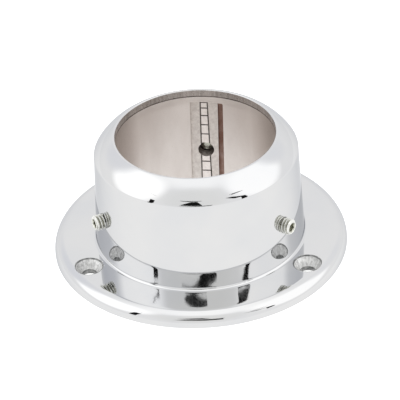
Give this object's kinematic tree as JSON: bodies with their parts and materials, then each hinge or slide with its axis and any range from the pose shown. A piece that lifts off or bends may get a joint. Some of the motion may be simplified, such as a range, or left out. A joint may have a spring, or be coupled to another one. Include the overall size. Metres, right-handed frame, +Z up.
{
  "type": "stanchion base",
  "caption": "Chrome-plated round flange with a domed socket that holds an upright post, clamped by radial hex-socket set screws.",
  "frame": {"origin": "centre of the flange's underside, where it stands on the deck", "axes": "+Z up along the post's bore, away from the deck; +X to the right and +Y to the back, towards the back set screw"},
  "size_m": [0.1142, 0.1142, 0.05],
  "materials": {
    "plated_casting": "polished",
    "set_screw": "satin"
  },
  "bodies": {
    "base": {"base_casting": "plated_casting"},
    "screw_back": {"set_screw_back": "set_screw"},
    "screw_left": {"set_screw_left": "set_screw"},
    "screw_right": {"set_screw_right": "set_screw"}
  },
  "joints": [
    {"name": "set_screw_back_feed", "type": "slide", "parent": "base", "child": "screw_back", "axis": [-0.1305, -0.9914, 0], "range_m": [-0.003, 0.004]},
    {"name": "set_screw_left_feed", "type": "slide", "parent": "base", "child": "screw_left", "axis": [0.9239, 0.3827, 0], "range_m": [-0.003, 0.004]},
    {"name": "set_screw_right_feed", "type": "slide", "parent": "base", "child": "screw_right", "axis": [-0.7934, 0.6088, 0], "range_m": [-0.003, 0.004]}
  ]
}
